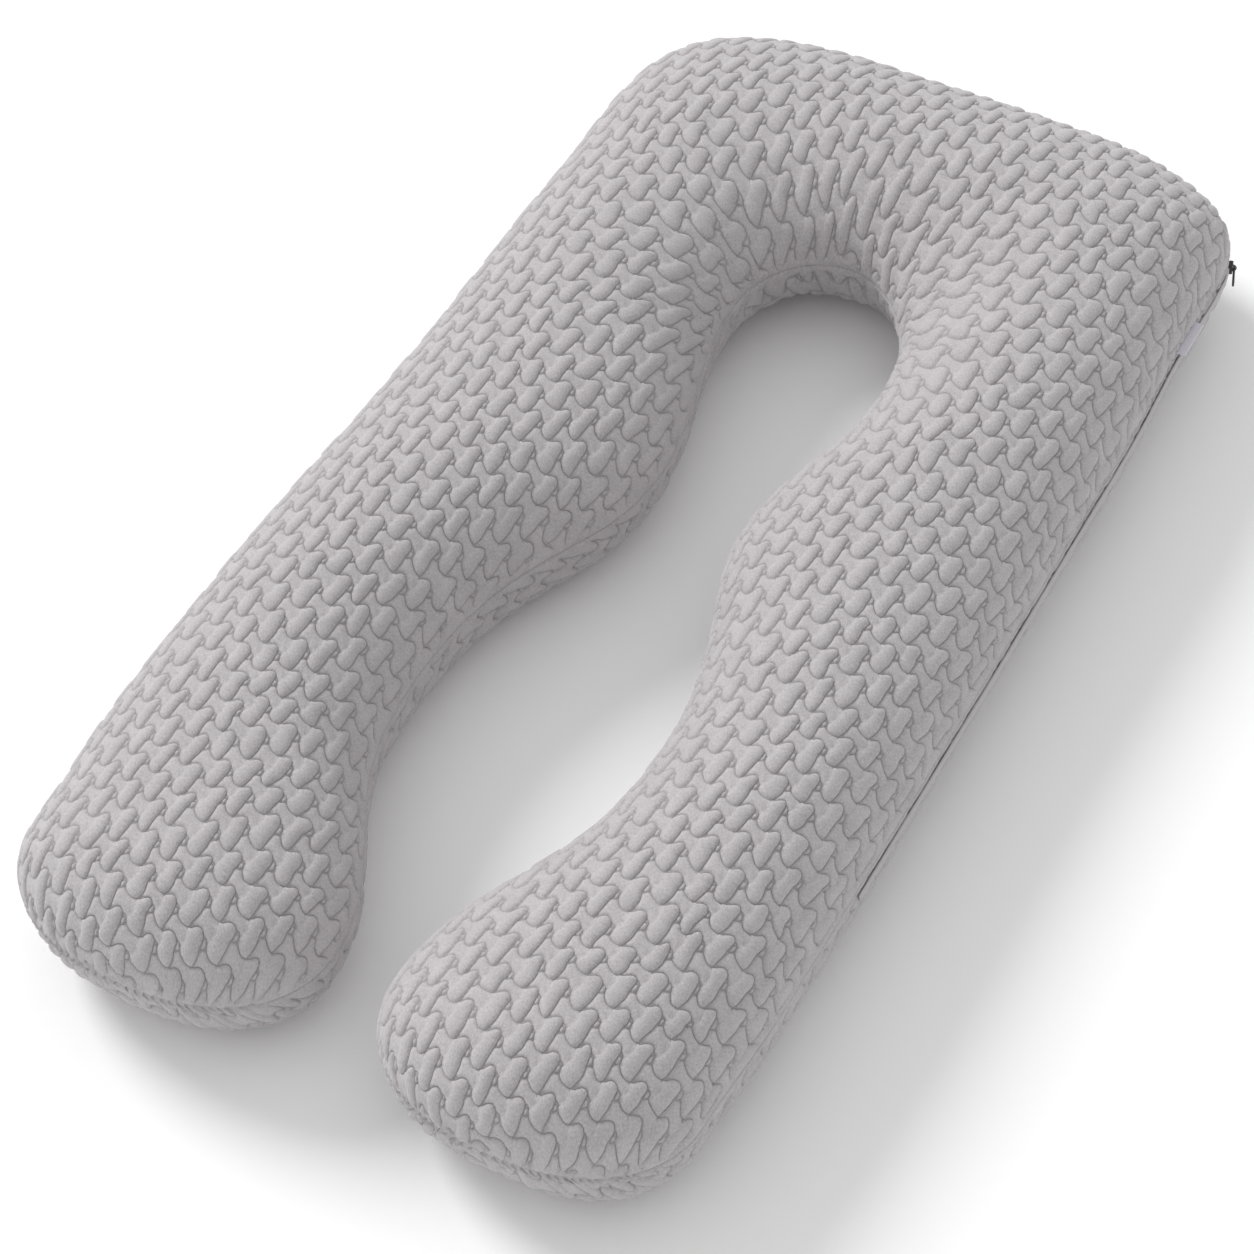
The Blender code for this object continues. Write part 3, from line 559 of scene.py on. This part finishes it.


# Melange double-knit: two greys of spun yarn in fine vertical wales, soft and matt, a little hairy; painted shade
# darkens the quilting's grooves
def knitMaterial():
    material = bpy.data.materials.new("melange_double_knit")
    material.use_nodes = True
    tree = material.node_tree
    shader = tree.nodes["Principled BSDF"]
    cloth = addNode(tree, "ShaderNodeUVMap", {"uv_map": "cloth"})
    scaled = addNode(tree, "ShaderNodeMapping", {"Scale": (1000.0, 1000.0, 1000.0)}, {"Vector": cloth.outputs["UV"]})
    # yarn flecks, about 1 by 3 mm, longer down the wales
    long = addNode(tree, "ShaderNodeMapping", {"Scale": (0.9, 0.38, 1.0)}, {"Vector": scaled.outputs["Vector"]})
    flecks = addNode(tree, "ShaderNodeTexNoise", {"Scale": 0.85, "Detail": 3.0, "Roughness": 0.65},
                     {"Vector": long.outputs["Vector"]})
    patches = addNode(tree, "ShaderNodeTexNoise", {"Scale": 0.035, "Detail": 2.0},
                      {"Vector": scaled.outputs["Vector"]})
    blend = addNode(tree, "ShaderNodeMix", {"data_type": "FLOAT", "Factor": 0.22},
                    {"A": flecks.outputs["Fac"], "B": patches.outputs["Fac"]})
    tone = addNode(tree, "ShaderNodeValToRGB", None, {"Fac": blend.outputs["Result"]})
    tone.color_ramp.elements[0].position = knit["darkAt"]
    tone.color_ramp.elements[0].color = linearColour(knit["dark"])
    tone.color_ramp.elements[1].position = knit["lightAt"]
    tone.color_ramp.elements[1].color = linearColour(knit["light"])
    # Painted shade: the deeper a point lies in a quilting groove, the more of the darkest grey is mixed into the
    # knit's colour
    groove = addNode(tree, "ShaderNodeAttribute", {"attribute_name": "groove"})
    paintedShadeMask = addNode(tree, "ShaderNodeMapRange", {"From Min": knit["grooveFrom"], "To Max": knit["grooveShade"]},
                       {"Value": groove.outputs["Fac"]})
    shade = addNode(tree, "ShaderNodeMix", {"data_type": "RGBA"}, {"Factor": paintedShadeMask.outputs["Result"]})
    tree.links.new(tone.outputs["Color"], shade.inputs[6])
    shade.inputs[7].default_value = linearColour(knit["deep"])
    tree.links.new(shade.outputs[2], shader.inputs["Base Color"])
    # wales a millimetre apart
    wales = addNode(tree, "ShaderNodeTexWave", {"Scale": 1 / knit["wale"] / 2 * 0.628, "Distortion": 1.6,
                                                "Detail": 2.0, "Detail Scale": 1.2},
                    {"Vector": scaled.outputs["Vector"]})
    pile = addNode(tree, "ShaderNodeTexNoise", {"Scale": 1.1, "Detail": 3.0}, {"Vector": scaled.outputs["Vector"]})
    surface = addNode(tree, "ShaderNodeMix", {"data_type": "FLOAT", "Factor": 0.55},
                      {"A": wales.outputs["Fac"], "B": pile.outputs["Fac"]})
    bump = addNode(tree, "ShaderNodeBump", {"Strength": knit["bump"], "Distance": knit["bumpHeight"]},
                   {"Height": surface.outputs["Result"]})
    tree.links.new(bump.outputs["Normal"], shader.inputs["Normal"])
    shader.inputs["Roughness"].default_value = knit["roughness"]
    shader.inputs["Specular IOR Level"].default_value = knit["specular"]
    shader.inputs["Sheen Weight"].default_value = knit["sheen"]
    shader.inputs["Sheen Roughness"].default_value = knit["sheenRoughness"]
    return material


# Gunmetal-plated zinc casting: dark, half gloss, rubbed a little lighter
def metalMaterial():
    material = bpy.data.materials.new("gunmetal_plated_zinc")
    material.use_nodes = True
    tree = material.node_tree
    shader = tree.nodes["Principled BSDF"]
    place = addNode(tree, "ShaderNodeTexCoord")
    wear = addNode(tree, "ShaderNodeTexNoise", {"Scale": metal["wearScale"], "Detail": 2.0},
                   {"Vector": place.outputs["Object"]})
    tone = addNode(tree, "ShaderNodeValToRGB", None, {"Fac": wear.outputs["Fac"]})
    tone.color_ramp.elements[0].color = linearColour(metal["plated"])
    tone.color_ramp.elements[1].color = linearColour(metal["worn"])
    tree.links.new(tone.outputs["Color"], shader.inputs["Base Color"])
    shader.inputs["Metallic"].default_value = 1.0
    shader.inputs["Roughness"].default_value = metal["roughness"]
    return material


# Blank woven tape: close satin weave of pale thread, smooth with a faint rib
def tapeMaterial():
    material = bpy.data.materials.new("woven_satin_tape")
    material.use_nodes = True
    tree = material.node_tree
    shader = tree.nodes["Principled BSDF"]
    place = addNode(tree, "ShaderNodeTexCoord")
    rib = addNode(tree, "ShaderNodeTexWave", {"Scale": tape["ribScale"], "bands_direction": "Y"},
                  {"Vector": place.outputs["Object"]})
    tone = addNode(tree, "ShaderNodeValToRGB", None, {"Fac": rib.outputs["Fac"]})
    tone.color_ramp.elements[0].color = linearColour(tape["between"])
    tone.color_ramp.elements[1].color = linearColour(tape["thread"])
    tree.links.new(tone.outputs["Color"], shader.inputs["Base Color"])
    bump = addNode(tree, "ShaderNodeBump", {"Strength": tape["bump"], "Distance": tape["bumpHeight"]},
                   {"Height": rib.outputs["Fac"]})
    tree.links.new(bump.outputs["Normal"], shader.inputs["Normal"])
    shader.inputs["Roughness"].default_value = tape["roughness"]
    return material


studio = {"floor": "#ffffff", "world": 0.70, "keyStrength": 2.1, "keySpread": 22.0, "keyFrom": (-3.0, 0.9, 2.2),
          "floorSize": 14.0, "floorDrop": 0.0002}


def addStudio():
    shape = bmesh.new()
    bmesh.ops.create_grid(shape, x_segments=1, y_segments=1, size=studio["floorSize"])
    bmesh.ops.translate(shape, vec=(0, 0, -studio["floorDrop"]), verts=shape.verts)
    mesh = bpy.data.meshes.new("floor")
    shape.to_mesh(mesh)
    shape.free()
    floor = bpy.data.objects.new("floor", mesh)
    bpy.context.scene.collection.objects.link(floor)
    paper = bpy.data.materials.new("matt_backdrop_paper")
    paper.use_nodes = True
    paper.node_tree.nodes["Principled BSDF"].inputs["Base Color"].default_value = linearColour(studio["floor"])
    paper.node_tree.nodes["Principled BSDF"].inputs["Roughness"].default_value = 1.0
    paper.node_tree.nodes["Principled BSDF"].inputs["Specular IOR Level"].default_value = 0.0
    mesh.materials.append(paper)
    world = bpy.data.worlds.new("studio")
    world.use_nodes = True
    world.node_tree.nodes["Background"].inputs["Color"].default_value = (1.0, 1.0, 1.0, 1.0)
    world.node_tree.nodes["Background"].inputs["Strength"].default_value = studio["world"]
    bpy.context.scene.world = world
    data = bpy.data.lights.new("key", "SUN")
    data.energy = studio["keyStrength"]
    data.angle = math.radians(studio["keySpread"])
    key = bpy.data.objects.new("key", data)
    key.location = studio["keyFrom"]
    key.rotation_euler = (-Vector(studio["keyFrom"])).to_track_quat("-Z", "Y").to_euler()
    bpy.context.scene.collection.objects.link(key)
    bpy.context.scene.view_settings.view_transform = "Standard"


def dress():
    noise.seed_set(round(quilt["seed"]))       # unseeded, noise_vector starts from the clock
    cloth, plating, ribbon = knitMaterial(), metalMaterial(), tapeMaterial()
    rows = sectionRows()
    for name, side in (("cover_upper", 1), ("cover_lower", -1)):
        panel = makePanel(name, rows, side, quilt["seed"] + side)
        panel.data.materials.append(cloth)
        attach(panel, "root")
        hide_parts("pillow")
        print(name, "made:", len(panel.data.polygons), "faces")
    for node, material in (("zip_slider", plating), ("zip_pull", plating), ("side_label", ribbon),
                           ("zip_placket", cloth)):
        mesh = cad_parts[node].data
        mesh.materials.clear()
        mesh.materials.append(material)


addCamera()
addStudio()
dress()
